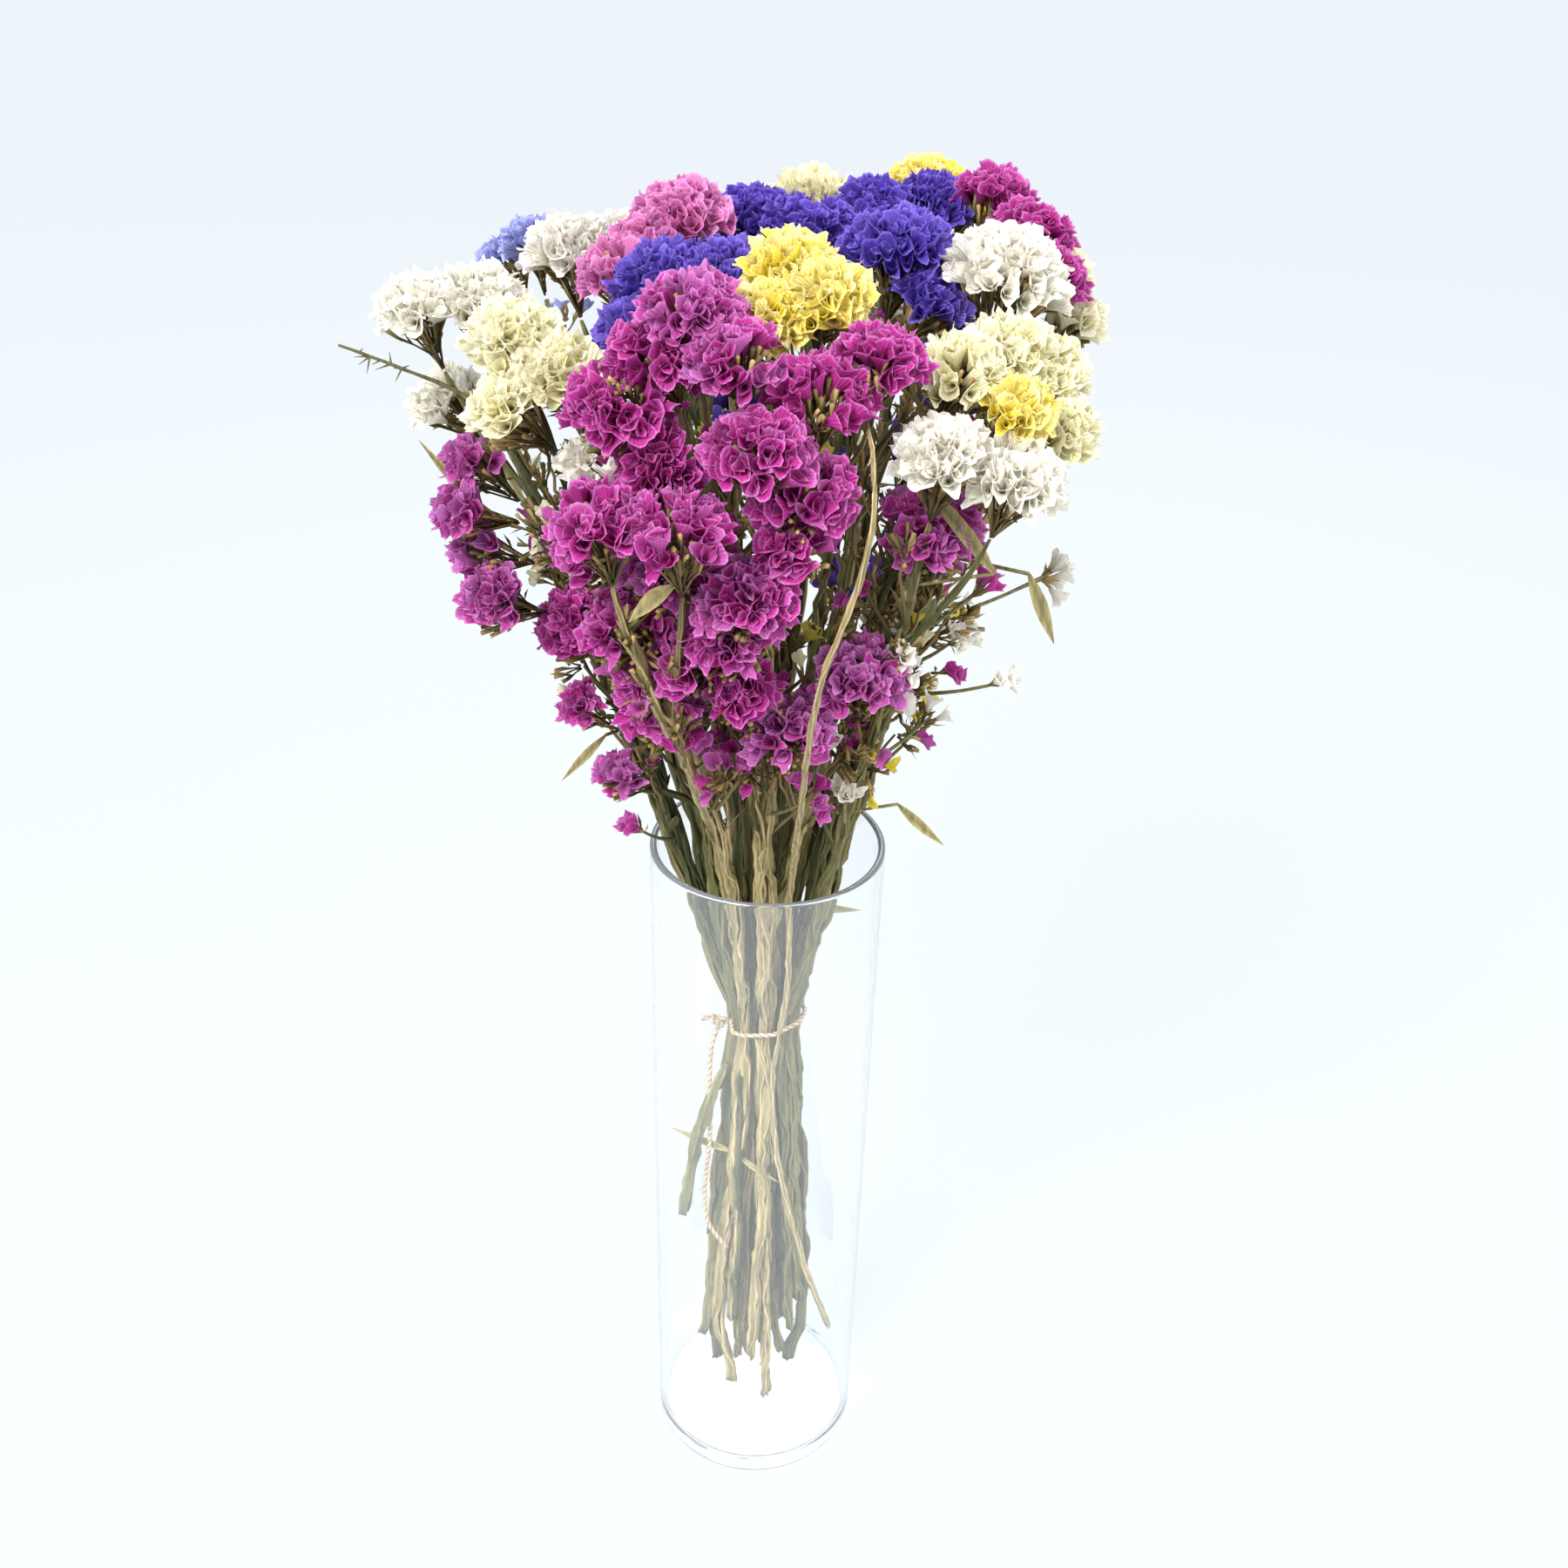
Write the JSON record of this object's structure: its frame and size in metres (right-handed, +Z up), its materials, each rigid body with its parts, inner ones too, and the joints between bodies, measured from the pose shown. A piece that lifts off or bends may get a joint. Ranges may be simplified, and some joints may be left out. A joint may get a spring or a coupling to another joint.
{
  "type": "dried statice",
  "caption": "Tied bunch of dried statice in mixed colours, standing in a tall clear glass cylinder vase.",
  "frame": {"origin": "centre of the vase's flat foot, where it stands", "axes": "+Z up along the vase, +X to the right and -Y to the front, as in the picture"},
  "size_m": [0.2633, 0.2728, 0.6107],
  "materials": {
    "glass": "clear, polished",
    "jute": "rough twisted fibre",
    "stalk": "dry, matte",
    "white": "dry papery petals, matte",
    "cream": "dry papery petals, matte",
    "yellow": "dry papery petals, matte",
    "rose": "dry papery petals, matte",
    "magenta": "dry papery petals, matte",
    "violet": "dry papery petals, matte",
    "lavender": "dry papery petals, matte"
  },
  "bodies": {
    "root": {"head_cream_back": "cream", "head_cream_far_right": "cream", "head_cream_left": "cream", "head_cream_right": "cream", "head_lavender_left": "lavender", "head_magenta_back": "magenta", "head_magenta_comb": "magenta", "head_magenta_left_1": "magenta", "head_magenta_left_2": "magenta", "head_magenta_left_3": "magenta", "head_magenta_low_1": "magenta", "head_magenta_low_2": "magenta", "head_magenta_low_left_1": "magenta", "head_magenta_low_left_2": "magenta", "head_magenta_low_mid_1": "magenta", "head_magenta_low_mid_2": "magenta", "head_magenta_low_right": "magenta", "head_magenta_mid": "magenta", "head_magenta_mid_left_1": "magenta", "head_magenta_mid_left_2": "magenta", "head_magenta_right": "magenta", "head_magenta_top_1": "magenta", "head_magenta_top_2": "magenta", "head_rose_back": "rose", "head_rose_top": "rose", "head_violet_back": "violet", "head_violet_left": "violet", "head_violet_right": "violet", "head_violet_top_1": "violet", "head_violet_top_2": "violet", "head_white_back": "white", "head_white_left_1": "white", "head_white_left_2": "white", "head_white_low_right": "white", "head_white_right": "white", "head_white_small": "white", "head_white_top_left": "white", "head_yellow_back": "yellow", "head_yellow_mid_1": "yellow", "head_yellow_mid_2": "yellow", "head_yellow_right": "yellow", "stalks_back": "stalk", "stalks_back_low": "stalk", "stalks_front": "stalk", "stalks_front_low": "stalk", "stalks_left": "stalk", "stalks_left_back": "stalk", "stalks_mid": "stalk", "stalks_mid_left": "stalk", "stalks_right": "stalk", "stalks_right_back": "stalk", "stalks_right_front": "stalk", "stalks_right_top": "stalk", "stalks_top": "stalk", "stalks_top_back": "stalk", "twine": "jute", "twine_tail": "jute", "vase": "glass"}
  },
  "joints": []
}
